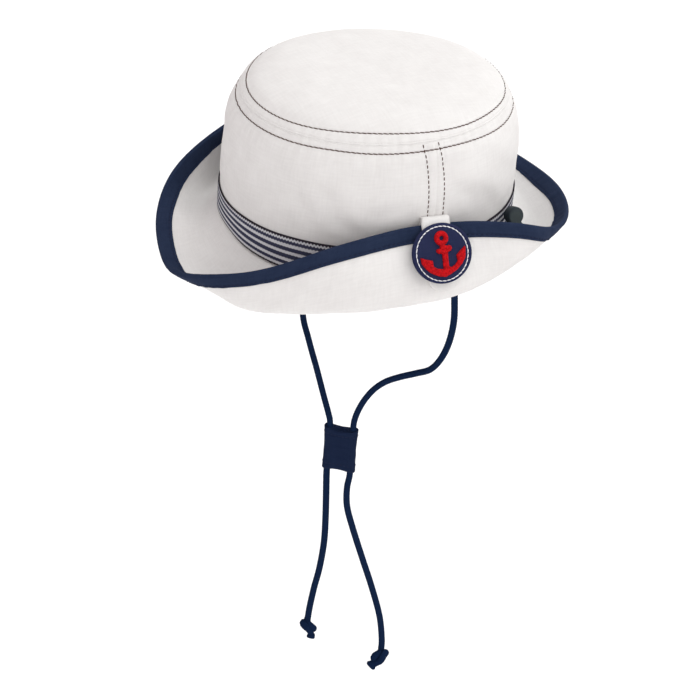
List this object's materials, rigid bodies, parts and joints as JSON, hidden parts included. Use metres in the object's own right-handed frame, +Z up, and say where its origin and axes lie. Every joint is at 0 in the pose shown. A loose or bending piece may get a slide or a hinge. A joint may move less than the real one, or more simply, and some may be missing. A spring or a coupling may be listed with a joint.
{
  "type": "child's cloth sun hat with upturned sides and chin cords",
  "caption": "Soft white cloth hat with a dark bound brim turned up at the sides, a striped band, a round anchor badge on a tab, and chin cords in a slider.",
  "frame": {"origin": "middle of the head opening, level with the seam where the crown meets the brim", "axes": "+Z up along the crown, -Y the hat's front, +X the wearer's left, where the badge is"},
  "size_m": [0.2079, 0.2442, 0.4819],
  "materials": {
    "white_cloth": "matt woven cotton",
    "navy_cloth": "matt woven cotton tape",
    "striped_cloth": "knitted cotton in fine navy and white stripes",
    "badge_cloth": "padded cloth with a stitched rim",
    "red_thread": "satin embroidery",
    "navy_cord": "round braided cord",
    "stopper_plastic": "moulded, dull"
  },
  "bodies": {
    "root": {"crown_side": "white_cloth", "crown_tip": "white_cloth", "brim": "white_cloth", "brim_binding": "navy_cloth", "hat_band": "striped_cloth", "side_tab": "white_cloth", "badge_disc": "badge_cloth", "badge_anchor": "red_thread", "chin_cord_left": "navy_cord", "chin_cord_right": "navy_cord", "knot_left": "navy_cord", "knot_right": "navy_cord", "cord_slider": "navy_cord", "cord_tab_left": "navy_cloth", "cord_tab_right": "navy_cloth", "cord_stopper": "stopper_plastic", "stopper_string": "navy_cord"}
  },
  "joints": []
}
